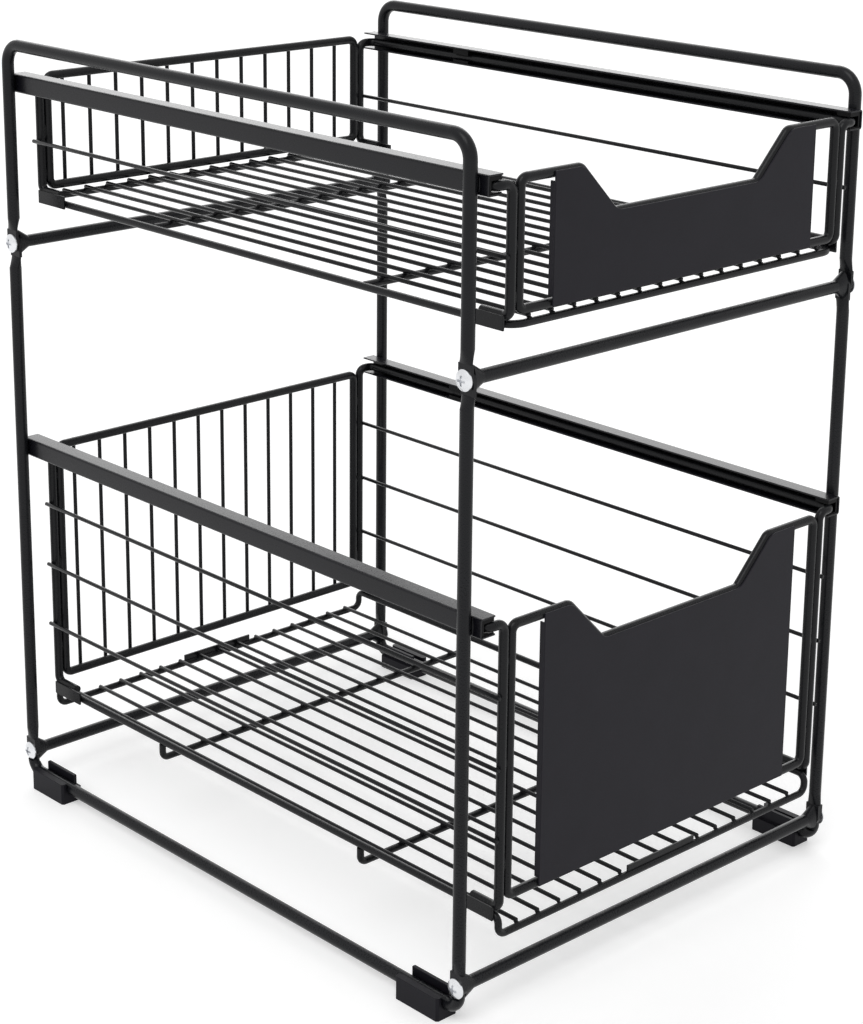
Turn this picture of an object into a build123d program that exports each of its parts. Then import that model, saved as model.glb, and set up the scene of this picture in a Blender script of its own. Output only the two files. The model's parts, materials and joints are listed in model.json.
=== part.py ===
from build123d import *
import math
import os

# Free-standing two-tier shelf: two wire drawers that slide in a screwed tube frame.
# Sizes are in millimetres. X is the width, Y the depth with the front at -Y, Z is up.
# The origin lies on the floor, under the middle of the whole shelf with its drawers shut.

# Tube frame
LEG_SPACING_X = 302.0
LEG_SPACING_Y = 400.0
TUBE_D = 7.4
TOP_BEND_R = 12.0
BOTTOM_BEND_R = 8.0
JOINT_ABOVE_BEND = 5.0

# Flattened tube ends, flared cross bar ends and the screws that join them
TONGUE_T = 2.0
TONGUE_W = 9.4
TONGUE_L = 8.5
TAPER_L = 7.0
TAPER_END_SWELL = 0.3
SADDLE_H = 16.5
SADDLE_W = 8.4
SADDLE_TAPER_L = 7.0
SADDLE_ROOM = 0.5
SCREW_D = 5.0
SCREW_LENGTH = 16.0
SCREW_HEAD_D = 11.4
SCREW_HEAD_H = 2.8
SCREW_HEAD_RIM_H = 0.7
HEAD_ROOM = 0.6
RECESS_SPAN = 5.6
RECESS_SLOT = 1.3
RECESS_DEPTH = 1.7
SCREW_HOLE_GAP = 0.15
THREAD_GAP = 0.03
BORE_END_GAP = 1.0

# Feet clipped on the bottom bars
FOOT_W = 15.0
FOOT_L = 34.0
FOOT_SOLE = 5.3
FOOT_WALL_RISE = 4.8
FOOT_FIN_RISE = 7.6
FOOT_FIN_T = 2.2
FOOT_FIN_SETBACK = 2.5
FOOT_LIP_BITE = 0.5
FOOT_FIT = 0.05
FOOT_CHAMFER = 1.2
FOOT_BEND_GAP = 0.5

# Rails: C channels open to the middle, with a plastic guide in the front end
RAIL_H = 11.0
RAIL_W = 10.5
RAIL_T = 1.0
RAIL_BEND_R = 1.4
RAIL_FRONT_OVERHANG = 8.5
RAIL_BACK_OVERHANG = 3.5
GUIDE_L = 9.5
GUIDE_SETBACK = 0.5
GUIDE_LIP = 0.6
GUIDE_SEAT_GAP = 0.05
GLIDE_L = 14.0
GLIDE_MOUTH = 3.6
GLIDE_FIT = 0.05
TRAVEL = 300.0
RUN_GAP = 0.3
SIDE_RUN_GAP = 2.3

# Drawers
LOOP_D = 5.4
RIM_D = 4.2
WIRE_D = 2.5
WELD_GAP = 0.02
DRAWER_SIDE_GAP = 4.55
DRAWER_FRONT_PROUD = 7.5
DRAWER_BACK_INSET = 0.2
JOG_BEND_R = 5.0
LOOP_BEND_R = 4.5
STUB_L = 20.0
SIDE_WIRE_OVERHANG = 2.4
SUPPORT_INSET = 111.0
SUPPORT_BEND_R = 4.0
FLOOR_WIRE_COUNT = 15
FLOOR_WIRE_MARGIN = 14.7
BACK_WIRE_COUNT = 12
BACK_WIRE_MARGIN = 14.05
CORNER_PLATE_L = 27.0
CORNER_PLATE_H = 8.0
CORNER_PLATE_T = 1.2
CORNER_PLATE_DROP = 2.2
CORNER_PLATE_SETBACK = 1.0

# Front plates and their hand notch
PLATE_HALF_W = 102.75
PLATE_T = 1.0
PLATE_LIP = 3.0
PLATE_LIP_ROOM = 1.2
PLATE_TOP_PROUD = 1.3
PLATE_BOTTOM_DROP = 1.0
NOTCH_DEPTH = 26.0
NOTCH_BOTTOM_HALF = 56.5
NOTCH_TOP_HALF = 82.0
NOTCH_BEND_R = 10.0

# Lower drawer, from the bottom joints up
LOWER_FLOOR_GAP = 15.65
LOWER_RIM_DROP = 11.3
LOWER_RIM_BEND_R = 5.0
LOWER_SIDE_H = 167.3
LOWER_SIDE_WIRES = 3
LOWER_WIRE_SPACING = 0.243
LOWER_FRONT_RISE = 10.2
LOWER_FRONT_TOP = -2.45
LOWER_BACK_RISE = 9.0
LOWER_BACK_TOP = -2.95
STRIP_L = 56.0
STRIP_T = 1.2
STRIP_H = 3.6

# Upper drawer, from the middle joints up
LOWER_HEADROOM = 117.75
UPPER_FLOOR_GAP = 14.65
UPPER_RIM_BEND_R = 11.0
UPPER_SIDE_H = 72.15
UPPER_SIDE_WIRES = 1
UPPER_WIRE_SPACING = 0.505
UPPER_FRONT_RISE = 7.35
UPPER_FRONT_TOP = 2.05
UPPER_BACK_RISE = 7.35
UPPER_BACK_TOP = 3.05
TOP_BAR_GAP = 6.5

LEFT = -1
RIGHT = 1
FRONT = -1
BACK = 1
SIDES = {"left": LEFT, "right": RIGHT}
ENDS = {"front": FRONT, "back": BACK}

# Places that follow from the sizes above
TUBE_R = TUBE_D / 2
LOOP_R = LOOP_D / 2
RIM_R = RIM_D / 2
WIRE_R = WIRE_D / 2
LEG_X = LEG_SPACING_X / 2
LEG_Y = LEG_SPACING_Y / 2
JOINT_FACE_X = LEG_X + TONGUE_T
SADDLE_X = LEG_X - TONGUE_T

RAIL_WEB_X = LEG_X - TUBE_R - WELD_GAP
RAIL_EDGE_X = RAIL_WEB_X - RAIL_W
RAIL_FRONT_Y = -LEG_Y - RAIL_FRONT_OVERHANG
RAIL_BACK_Y = LEG_Y + RAIL_BACK_OVERHANG
RUNNER_X = RAIL_WEB_X - RAIL_T - SIDE_RUN_GAP - LOOP_R
RUNNER_RISE = RAIL_T + GUIDE_SEAT_GAP + GUIDE_LIP + RUN_GAP + LOOP_R
POST_X = RAIL_EDGE_X - DRAWER_SIDE_GAP - LOOP_R
PANEL_X = POST_X - LOOP_D - WELD_GAP
POST_FRONT_Y = -LEG_Y - DRAWER_FRONT_PROUD
POST_BACK_Y = LEG_Y - DRAWER_BACK_INSET
GUIDE_FRONT_Y = RAIL_FRONT_Y + GUIDE_SETBACK
GUIDE_BACK_Y = GUIDE_FRONT_Y + GUIDE_L
GLIDE_FRONT_Y = GUIDE_BACK_Y + TRAVEL + RUN_GAP

PLATE_BACK_Y = POST_FRONT_Y - LOOP_R - WELD_GAP
BACK_WIRE_Y = POST_BACK_Y + LOOP_R + WIRE_R + WELD_GAP
REAR_Y = max(BACK_WIRE_Y + WIRE_R, LEG_Y + SCREW_HEAD_D / 2)
MIDDLE_Y = (PLATE_BACK_Y - PLATE_T + REAR_Y) / 2

BAR_Z = FOOT_SOLE + TUBE_R
BOTTOM_JOINT_Z = BAR_Z + BOTTOM_BEND_R + JOINT_ABOVE_BEND
LOWER_EDGE_Z = BOTTOM_JOINT_Z + SADDLE_H / 2 + LOWER_FLOOR_GAP + RIM_R
LOWER_RIM_Z = LOWER_EDGE_Z + LOWER_RIM_DROP
LOWER_RUNNER_Z = LOWER_RIM_Z + LOWER_SIDE_H
LOWER_RAIL_Z = LOWER_RUNNER_Z - RUNNER_RISE
MID_JOINT_Z = LOWER_RAIL_Z + RAIL_H + LOWER_HEADROOM + SADDLE_H / 2
UPPER_RIM_Z = MID_JOINT_Z + SADDLE_H / 2 + UPPER_FLOOR_GAP + RIM_R
UPPER_RUNNER_Z = UPPER_RIM_Z + UPPER_SIDE_H
UPPER_RAIL_Z = UPPER_RUNNER_Z - RUNNER_RISE
TOP_BAR_Z = UPPER_RAIL_Z + RAIL_H + TOP_BAR_GAP + TOP_BEND_R


def bent_path(points, bend_r):
    """Straight runs through the points, joined by tangent arcs at the inner points."""
    nodes = [Vector(*point) for point in points]
    last = len(nodes) - 1
    edges = []
    run_start = nodes[0]
    for index in range(1, last):
        corner = nodes[index]
        back = nodes[index - 1] - corner
        ahead = nodes[index + 1] - corner
        turn = math.pi - math.radians(back.get_angle(ahead))
        room_back = back.length if index == 1 else back.length / 2
        room_ahead = ahead.length if index == last - 1 else ahead.length / 2
        setback = min(bend_r * math.tan(turn / 2), room_back, room_ahead)
        radius = setback / math.tan(turn / 2)
        to_back, to_ahead = back.normalized(), ahead.normalized()
        centre = corner + (to_back + to_ahead).normalized() * (radius / math.cos(turn / 2))
        arc_start = corner + to_back * setback
        arc_end = corner + to_ahead * setback
        arc_middle = centre + (corner - centre).normalized() * radius
        if (arc_start - run_start).length > WELD_GAP:
            edges.append(Edge.make_line(run_start, arc_start))
        edges.append(Edge.make_three_point_arc(arc_start, arc_middle, arc_end))
        run_start = arc_end
    if (nodes[last] - run_start).length > WELD_GAP:
        edges.append(Edge.make_line(run_start, nodes[last]))
    return Wire(edges)


def bent_rod(points, bend_r, diameter):
    """A round rod or tube bent along the points."""
    path = bent_path(points, bend_r)
    section = Plane(origin=path.position_at(0), z_dir=path.tangent_at(0)) * Circle(diameter / 2)
    return sweep(section, path=path)


def ring_rod(corners, bend_r, diameter):
    """A closed loop of rod: its ends meet in the middle of the first side."""
    first, second = Vector(*corners[0]), Vector(*corners[1])
    seam = (first + second) / 2
    seam = (seam.X, seam.Y, seam.Z)
    return bent_rod([seam, *corners[1:], corners[0], seam], bend_r, diameter)


def rod(start, end, diameter):
    """A straight round rod from one point to another."""
    run = Vector(*end) - Vector(*start)
    return extrude(Plane(origin=start, z_dir=run) * Circle(diameter / 2), run.length)


def block(x_range, y_range, z_range):
    """A box between two limits on each axis, given in any order."""
    spans = [sorted(limits) for limits in (x_range, y_range, z_range)]
    size = [high - low for low, high in spans]
    low_corner = tuple(low for low, _ in spans)
    return Location(low_corner) * Box(*size, align=(Align.MIN, Align.MIN, Align.MIN))


def level_ellipse(x, y, z, half_x, half_y):
    """A flat ellipse at one height, for the tapers of the legs."""
    return Plane(origin=(x, y, z)) * Ellipse(half_x, half_y)


def leg_taper(x_round, x_flat, y, z_round, z_flat, flat_t):
    """The part of a leg between its round tube and a flattened place."""
    half_x = flat_t / 2 + TAPER_END_SWELL
    round_end = level_ellipse(x_round, y, z_round, TUBE_R, TUBE_R)
    flat_end = level_ellipse(x_flat, y, z_flat, half_x, TONGUE_W / 2)
    return loft([round_end, flat_end])


def pressed_plate(x_centre, y, joint_z, far_z, flat_t):
    """The flattened place itself: a plate with a round end about the screw."""
    x_range = (x_centre - flat_t / 2, x_centre + flat_t / 2)
    plate = block(x_range, (y - TONGUE_W / 2, y + TONGUE_W / 2), (joint_z, far_z))
    return plate + rod((x_range[0], y, joint_z), (x_range[1], y, joint_z), TONGUE_W)


def screw_hole(side, y, joint_z):
    """The clearance hole through a flattened leg."""
    reach = LEG_X + TUBE_D
    start = (side * (LEG_X - TUBE_D), y, joint_z)
    return rod(start, (side * reach, y, joint_z), SCREW_D + 2 * SCREW_HOLE_GAP)


def leg_end(side, y, joint_z, direction, lap):
    """A leg's flattened end at a middle joint, lapped outward or inward."""
    x_flat = side * (LEG_X + lap * TONGUE_T / 2)
    z_flat = joint_z + direction * TONGUE_L
    taper = leg_taper(side * LEG_X, x_flat, y, z_flat + direction * TAPER_L, z_flat, TONGUE_T)
    return taper + pressed_plate(x_flat, y, joint_z, z_flat, TONGUE_T)


def upper_side_frame(side):
    """The upright inverted U of one side, with both lower ends flattened."""
    x = side * LEG_X
    leg_foot = MID_JOINT_Z + TONGUE_L + TAPER_L
    points = [(x, -LEG_Y, leg_foot), (x, -LEG_Y, TOP_BAR_Z), (x, LEG_Y, TOP_BAR_Z), (x, LEG_Y, leg_foot)]
    frame = bent_rod(points, TOP_BEND_R, TUBE_D)
    for y in (-LEG_Y, LEG_Y):
        frame += leg_end(side, y, MID_JOINT_Z, 1, 1)
        frame -= screw_hole(side, y, MID_JOINT_Z)
    return frame


def lower_side_frame(side):
    """The lower U of one side: bottom bar, two legs, pressed flat at each joint."""
    x = side * LEG_X
    flat_top = BOTTOM_JOINT_Z + SADDLE_H / 2 + SADDLE_ROOM
    round_low = flat_top + TAPER_L
    round_high = MID_JOINT_Z - TONGUE_L - TAPER_L
    joint_flat = 2 * TONGUE_T
    points = [(x, -LEG_Y, BOTTOM_JOINT_Z), (x, -LEG_Y, BAR_Z), (x, LEG_Y, BAR_Z), (x, LEG_Y, BOTTOM_JOINT_Z)]
    frame = bent_rod(points, BOTTOM_BEND_R, TUBE_D)
    for y in (-LEG_Y, LEG_Y):
        y_range = (y - TONGUE_W, y + TONGUE_W)
        head_reach = SCREW_HEAD_D / 2 + HEAD_ROOM
        outer_press = block((side * JOINT_FACE_X, side * (LEG_X + TUBE_D)), y_range,
                            (BOTTOM_JOINT_Z - head_reach, BOTTOM_JOINT_Z + head_reach))
        inner_press = block((side * SADDLE_X, side * (LEG_X - TUBE_D)), y_range,
                            (2 * BOTTOM_JOINT_Z - flat_top, flat_top))
        frame = frame - outer_press - inner_press
        frame += pressed_plate(x, y, BOTTOM_JOINT_Z, flat_top, joint_flat)
        frame += leg_taper(x, x, y, round_low, flat_top, joint_flat)
        frame += rod((x, y, round_low), (x, y, round_high), TUBE_D)
        frame += leg_end(side, y, MID_JOINT_Z, -1, -1)
        frame -= screw_hole(side, y, MID_JOINT_Z)
        frame -= screw_hole(side, y, BOTTOM_JOINT_Z)
    return frame


def cross_bar(y, z):
    """A bar across the shelf, flared at both ends to seat on the legs, bored for the screws."""
    round_x = SADDLE_X - SADDLE_TAPER_L
    bar = rod((-round_x, y, z), (round_x, y, z), TUBE_D)
    bore_d = SCREW_D + 2 * THREAD_GAP
    bore_l = SCREW_LENGTH - 2 * TONGUE_T + BORE_END_GAP
    for side in SIDES.values():
        inward = Plane(origin=(side * round_x, y, z), x_dir=(0, 1, 0), z_dir=(side, 0, 0))
        outward = Plane(origin=(side * SADDLE_X, y, z), x_dir=(0, 1, 0), z_dir=(side, 0, 0))
        flare = loft([inward * Ellipse(TUBE_R, TUBE_R), outward * Ellipse(SADDLE_W / 2, SADDLE_H / 2)])
        bar += flare
        bar -= rod((side * SADDLE_X, y, z), (side * (SADDLE_X - bore_l), y, z), bore_d)
    return bar


def joint_screw(side, y, z):
    """A truss-headed screw with a cross recess, driven in from the outer side."""
    head_r, shank_r = SCREW_HEAD_D / 2, SCREW_D / 2
    dome = SCREW_HEAD_H - SCREW_HEAD_RIM_H
    dome_r = (head_r ** 2 + dome ** 2) / (2 * dome)
    half_turn = math.asin(head_r / dome_r) / 2
    arc_middle = (dome_r * math.sin(half_turn), SCREW_HEAD_H - dome_r + dome_r * math.cos(half_turn))
    outline = [
        Line((0, -SCREW_LENGTH), (shank_r, -SCREW_LENGTH)),
        Line((shank_r, -SCREW_LENGTH), (shank_r, 0)),
        Line((shank_r, 0), (head_r, 0)),
        Line((head_r, 0), (head_r, SCREW_HEAD_RIM_H)),
        ThreePointArc((head_r, SCREW_HEAD_RIM_H), arc_middle, (0, SCREW_HEAD_H)),
        Line((0, SCREW_HEAD_H), (0, -SCREW_LENGTH)),
    ]
    seat = (side * JOINT_FACE_X, y, z)
    plane = Plane(origin=seat, x_dir=(0, 1, 0), z_dir=(0, 0, -side))
    screw = revolve(plane * make_face(outline), Axis(seat, (side, 0, 0)))
    recess_x = (side * (JOINT_FACE_X + SCREW_HEAD_H), side * (JOINT_FACE_X + SCREW_HEAD_H - RECESS_DEPTH))
    half_span, half_slot = RECESS_SPAN / 2, RECESS_SLOT / 2
    upright = block(recess_x, (y - half_slot, y + half_slot), (z - half_span, z + half_span))
    level = block(recess_x, (y - half_span, y + half_span), (z - half_slot, z + half_slot))
    return screw - upright - level


def foot(side, end):
    """A plastic clip under the bottom bar, with a wall outside and a thin fin inside."""
    x = side * LEG_X
    outer_y = LEG_Y - BOTTOM_BEND_R - FOOT_BEND_GAP
    y_range = (end * (outer_y - FOOT_L), end * outer_y)
    fin_range = (end * (outer_y - FOOT_L + FOOT_FIN_SETBACK), end * (outer_y - FOOT_FIN_SETBACK))
    base = block((x - FOOT_W / 2, x + FOOT_W / 2), y_range, (0, BAR_Z))
    base = chamfer(base.edges().filter_by(Axis.Z), FOOT_CHAMFER)
    wall = block((side * (LEG_X + TUBE_R - FOOT_LIP_BITE), side * (LEG_X + FOOT_W / 2)), y_range,
                 (0, BAR_Z + FOOT_WALL_RISE))
    wall = chamfer(wall.edges().filter_by(Axis.Z), FOOT_CHAMFER)
    fin_x = LEG_X - TUBE_R + FOOT_LIP_BITE
    fin = block((side * fin_x, side * (fin_x - FOOT_FIN_T)), fin_range, (0, BAR_Z + FOOT_FIN_RISE))
    seat = rod((x, -LEG_Y, BAR_Z), (x, LEG_Y, BAR_Z), TUBE_D + 2 * FOOT_FIT)
    return base + wall + fin - seat


def rail(side, z):
    """A sheet-metal C channel on the inner side of the legs: its web and its two flanges."""
    web, edge = side * RAIL_WEB_X, side * RAIL_EDGE_X
    inner = side * (RAIL_WEB_X - RAIL_T)
    outline = [(web, z), (edge, z), (edge, z + RAIL_T), (inner, z + RAIL_T),
               (inner, z + RAIL_H - RAIL_T), (edge, z + RAIL_H - RAIL_T), (edge, z + RAIL_H), (web, z + RAIL_H)]
    profile = make_face(Polyline(*outline, close=True))
    bends = [vertex for vertex in profile.vertices() if abs(vertex.X - web) < WELD_GAP]
    profile = fillet(bends, RAIL_BEND_R)
    plane = Plane(origin=(0, RAIL_BACK_Y, 0), x_dir=(1, 0, 0), z_dir=(0, -1, 0))
    channel = extrude(plane * profile, RAIL_BACK_Y - RAIL_FRONT_Y)
    upright = block((web, inner), (RAIL_FRONT_Y, RAIL_BACK_Y), (z, z + RAIL_H))
    return Compound(children=[*(channel & upright).solids(), *(channel - upright).solids()])


def rail_guide(side, z):
    """The plastic guide in a rail's front end: the runner passes through its open groove."""
    floor_z = z + RAIL_T + GUIDE_SEAT_GAP
    roof_z = z + RAIL_H - RAIL_T - GUIDE_SEAT_GAP
    outer_x = RAIL_WEB_X - RAIL_T - GUIDE_SEAT_GAP
    x_range = (side * outer_x, side * (RAIL_EDGE_X + RUN_GAP))
    body = block(x_range, (GUIDE_FRONT_Y, GUIDE_BACK_Y), (floor_z, roof_z))
    groove_z = (floor_z + GUIDE_LIP, z + RUNNER_RISE + LOOP_R + RUN_GAP)
    groove = block((side * (RUNNER_X + LOOP_R + RUN_GAP), side * (RAIL_EDGE_X - RAIL_W)),
                   (GUIDE_FRONT_Y - GUIDE_L, GUIDE_BACK_Y + GUIDE_L), groove_z)
    return body - groove


def runner_glide(side, rail_z):
    """The plastic glide snapped on a runner, which meets the guide at full pull."""
    runner_z = rail_z + RUNNER_RISE
    outer_x = RAIL_WEB_X - RAIL_T - RUN_GAP
    y_range = (GLIDE_FRONT_Y, GLIDE_FRONT_Y + GLIDE_L)
    z_range = (rail_z + RAIL_T + RUN_GAP, rail_z + RAIL_H - RAIL_T - RUN_GAP)
    body = block((side * outer_x, side * (RAIL_EDGE_X + RUN_GAP)), y_range, z_range)
    bore = rod((side * RUNNER_X, POST_FRONT_Y, runner_z), (side * RUNNER_X, POST_BACK_Y, runner_z),
               LOOP_D + 2 * GLIDE_FIT)
    mouth = block((side * RUNNER_X, side * (RAIL_EDGE_X - RAIL_W)), y_range,
                  (runner_z - GLIDE_MOUTH / 2, runner_z + GLIDE_MOUTH / 2))
    return body - bore - mouth


def side_frame(side, rim_z, runner_z):
    """One drawer side of thick wire: foot, front post, jog, runner, jog, back post, foot."""
    post, runner = side * POST_X, side * RUNNER_X
    front_y, back_y = POST_FRONT_Y, POST_BACK_Y
    foot_z = rim_z + RIM_R + LOOP_R + WELD_GAP
    middle_z = (foot_z + runner_z) / 2
    front_foot = [(post, front_y + STUB_L, foot_z), (post, front_y, foot_z), (post, front_y, middle_z)]
    top = [(post, front_y, middle_z), (post, front_y, runner_z), (runner, front_y, runner_z),
           (runner, back_y, runner_z), (post, back_y, runner_z), (post, back_y, middle_z)]
    back_foot = [(post, back_y, middle_z), (post, back_y, foot_z), (post, back_y - STUB_L, foot_z)]
    stretches = ((front_foot, LOOP_BEND_R), (top, JOG_BEND_R), (back_foot, LOOP_BEND_R))
    path = Wire([edge for points, bend_r in stretches for edge in bent_path(points, bend_r).edges()])
    section = Plane(origin=front_foot[0], z_dir=(0, -1, 0)) * Circle(LOOP_R)
    return sweep(section, path=path)


def side_wires(side, runner_z, spacing, count):
    """Level wires welded on the outer side of the posts, spaced down from the runner."""
    x = side * (POST_X + LOOP_R + WIRE_R + WELD_GAP)
    wires = []
    for index in range(count):
        z = runner_z - spacing * (index + 1)
        start = (x, POST_FRONT_Y - SIDE_WIRE_OVERHANG, z)
        wires.append(rod(start, (x, POST_BACK_Y + SIDE_WIRE_OVERHANG, z), WIRE_D))
    return Compound(children=wires)


def back_frame(bottom_z, top_z):
    """The upright loop at the drawer's back."""
    y = POST_BACK_Y
    corners = [(-PANEL_X, y, bottom_z), (PANEL_X, y, bottom_z), (PANEL_X, y, top_z), (-PANEL_X, y, top_z)]
    return ring_rod(corners, LOOP_BEND_R, LOOP_D)


def back_wires(bottom_z, top_z):
    """Upright wires behind the back loop."""
    half = PANEL_X - BACK_WIRE_MARGIN
    wires = []
    for index in range(BACK_WIRE_COUNT):
        x = -half + 2 * half * index / (BACK_WIRE_COUNT - 1)
        wires.append(rod((x, BACK_WIRE_Y, bottom_z - WIRE_R), (x, BACK_WIRE_Y, top_z + WIRE_R), WIRE_D))
    return Compound(children=wires)


def front_frame(bottom_z, top_z):
    """The upright loop behind the front plate, dipped along the hand notch."""
    y = POST_FRONT_Y
    low = top_z - NOTCH_DEPTH
    right = [(PANEL_X, bottom_z), (PANEL_X, top_z), (NOTCH_TOP_HALF, top_z), (NOTCH_BOTTOM_HALF, low)]
    left = [(-x, z) for x, z in reversed(right)]
    outline = [(0, bottom_z), *right, *left, (0, bottom_z)]
    return bent_rod([(x, y, z) for x, z in outline], LOOP_BEND_R, LOOP_D)


def front_plate(bottom_z, top_z):
    """The sheet front with its hand notch and narrow lips folded back at both sides."""
    low, high = bottom_z - PLATE_BOTTOM_DROP, top_z + PLATE_TOP_PROUD
    right = [(PLATE_HALF_W, low), (PLATE_HALF_W, high), (NOTCH_TOP_HALF, high)]
    right.append((NOTCH_BOTTOM_HALF, high - NOTCH_DEPTH))
    left = [(-x, z) for x, z in reversed(right)]
    profile = make_face(Polyline(*right, *left, close=True))
    notch = [vertex for vertex in profile.vertices() if abs(vertex.X) < (NOTCH_TOP_HALF + PLATE_HALF_W) / 2]
    profile = fillet(notch, NOTCH_BEND_R)
    plane = Plane(origin=(0, PLATE_BACK_Y, 0), x_dir=(1, 0, 0), z_dir=(0, -1, 0))
    plate = extrude(plane * profile, PLATE_T)
    lip_z = (bottom_z + LOOP_R + PLATE_LIP_ROOM, top_z - LOOP_R - PLATE_LIP_ROOM)
    for side in SIDES.values():
        plate += block((side * PLATE_HALF_W, side * (PLATE_HALF_W - PLATE_T)),
                       (PLATE_BACK_Y - PLATE_T, PLATE_BACK_Y + PLATE_LIP), lip_z)
    return plate


def floor_rim(edge_z, rim_z, bend_r):
    """The wire round the floor: its front and back edges may lie lower than its sides."""
    x, front, back = POST_X, POST_FRONT_Y, POST_BACK_Y
    if rim_z - edge_z > RIM_D:
        corners = [(-x, front, edge_z), (x, front, edge_z), (x, front, rim_z), (x, back, rim_z),
                   (x, back, edge_z), (-x, back, edge_z), (-x, back, rim_z), (-x, front, rim_z)]
    else:
        corners = [(-x, front, edge_z), (x, front, edge_z), (x, back, edge_z), (-x, back, edge_z)]
    return ring_rod(corners, bend_r, RIM_D)


def floor_supports(edge_z, rim_z):
    """Two wires across under the floor: straight, or bent up under the sides of a rim that rises."""
    inner_x = POST_X - RIM_R - WELD_GAP
    top = rim_z - RIM_R - WELD_GAP
    supports = []
    for y in (POST_FRONT_Y + SUPPORT_INSET, POST_BACK_Y - SUPPORT_INSET):
        if rim_z - edge_z > RIM_D:
            points = [(-POST_X, y, top), (-POST_X, y, edge_z), (POST_X, y, edge_z), (POST_X, y, top)]
            supports.append(bent_rod(points, SUPPORT_BEND_R, RIM_D))
        else:
            supports.append(rod((-inner_x, y, edge_z), (inner_x, y, edge_z), RIM_D))
    return Compound(children=supports)


def floor_wires(edge_z):
    """Wires from front to back on top of the supports and the rim's edges."""
    z = edge_z + RIM_R + WIRE_R + WELD_GAP
    end_gap = STRIP_T / 2 + WELD_GAP
    half = POST_X - FLOOR_WIRE_MARGIN
    wires = []
    for index in range(FLOOR_WIRE_COUNT):
        x = -half + 2 * half * index / (FLOOR_WIRE_COUNT - 1)
        wires.append(rod((x, POST_FRONT_Y + end_gap, z), (x, POST_BACK_Y - end_gap, z), WIRE_D))
    return Compound(children=wires)


def corner_plates(rim_z):
    """Small plates that tie the posts' feet to the rim, one at each corner."""
    inner_x = POST_X + LOOP_R + WELD_GAP
    z_range = (rim_z - CORNER_PLATE_DROP, rim_z - CORNER_PLATE_DROP + CORNER_PLATE_H)
    plates = []
    for side in SIDES.values():
        for end, post_y in ((FRONT, POST_FRONT_Y), (BACK, POST_BACK_Y)):
            start = post_y - end * CORNER_PLATE_SETBACK
            y_range = (start, start - end * CORNER_PLATE_L)
            plates.append(block((side * inner_x, side * (inner_x + CORNER_PLATE_T)), y_range, z_range))
    return Compound(children=plates)


def edge_strips(edge_z):
    """Short strips on top of the floor's front and back edges, past the floor wires' ends."""
    z = edge_z + RIM_R + WELD_GAP
    strips = []
    for y in (POST_FRONT_Y, POST_BACK_Y):
        strips.append(block((-STRIP_L / 2, STRIP_L / 2), (y - STRIP_T / 2, y + STRIP_T / 2), (z, z + STRIP_H)))
    return Compound(children=strips)


def drawer(name, edge_z, rim_z, runner_z, bend_r, wires, front, back):
    """Every piece of one drawer, by node name."""
    wire_count, wire_share = wires
    wire_spacing = wire_share * (runner_z - rim_z)
    rail_z = runner_z - RUNNER_RISE
    front_z = (rim_z + front[0], runner_z + front[1])
    back_z = (rim_z + back[0], runner_z + back[1])
    nodes = {
        name + "_back_frame": back_frame(*back_z),
        name + "_back_wires": back_wires(*back_z),
        name + "_front_frame": front_frame(*front_z),
        name + "_front_plate": front_plate(*front_z),
        name + "_floor_rim": floor_rim(edge_z, rim_z, bend_r),
        name + "_floor_supports": floor_supports(edge_z, rim_z),
        name + "_floor_wires": floor_wires(edge_z),
        name + "_corner_plates": corner_plates(rim_z),
    }
    for word, side in SIDES.items():
        nodes[name + "_side_frame_" + word] = side_frame(side, rim_z, runner_z)
        nodes[name + "_side_wires_" + word] = side_wires(side, runner_z, wire_spacing, wire_count)
        nodes[name + "_runner_glide_" + word] = runner_glide(side, rail_z)
    return nodes


def frame_nodes():
    """Every piece that stays put, by node name."""
    nodes = {}
    for word, side in SIDES.items():
        nodes["upper_frame_" + word] = upper_side_frame(side)
        nodes["lower_frame_" + word] = lower_side_frame(side)
        for tier, z in (("lower", LOWER_RAIL_Z), ("upper", UPPER_RAIL_Z)):
            nodes[tier + "_rail_" + word] = rail(side, z)
            nodes[tier + "_rail_guide_" + word] = rail_guide(side, z)
        for end_word, end in ENDS.items():
            nodes["foot_" + end_word + "_" + word] = foot(side, end)
    for tier, z in (("bottom", BOTTOM_JOINT_Z), ("middle", MID_JOINT_Z)):
        screws = []
        for end_word, end in ENDS.items():
            nodes[tier + "_cross_bar_" + end_word] = cross_bar(end * LEG_Y, z)
            screws += [joint_screw(side, end * LEG_Y, z) for side in SIDES.values()]
        nodes[tier + "_joint_screws"] = Compound(children=screws)
    return nodes


def main():
    """Build every node and write it to its own file."""
    os.makedirs("parts", exist_ok=True)
    nodes = frame_nodes()
    nodes.update(drawer("lower", LOWER_EDGE_Z, LOWER_RIM_Z, LOWER_RUNNER_Z, LOWER_RIM_BEND_R,
                        (LOWER_SIDE_WIRES, LOWER_WIRE_SPACING),
                        (LOWER_FRONT_RISE, LOWER_FRONT_TOP), (LOWER_BACK_RISE, LOWER_BACK_TOP)))
    nodes["lower_edge_strips"] = edge_strips(LOWER_EDGE_Z)
    nodes.update(drawer("upper", UPPER_RIM_Z, UPPER_RIM_Z, UPPER_RUNNER_Z, UPPER_RIM_BEND_R,
                        (UPPER_SIDE_WIRES, UPPER_WIRE_SPACING),
                        (UPPER_FRONT_RISE, UPPER_FRONT_TOP), (UPPER_BACK_RISE, UPPER_BACK_TOP)))
    to_origin = Location((0, -MIDDLE_Y, 0))
    for name, shape in nodes.items():
        solids = [to_origin * solid for solid in shape.solids()]
        export_step(Compound(children=solids), "parts/" + name + ".step")


main()
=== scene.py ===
"""A two-tier wire shelf with pull-out drawers: finishes, welds, eased edges and a plain studio."""

import json
import math

import bmesh
import bpy
from bpy.props import FloatProperty, FloatVectorProperty, IntProperty, PointerProperty
from bpy.types import Operator, Panel, PropertyGroup
from mathutils import Matrix, Vector

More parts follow.
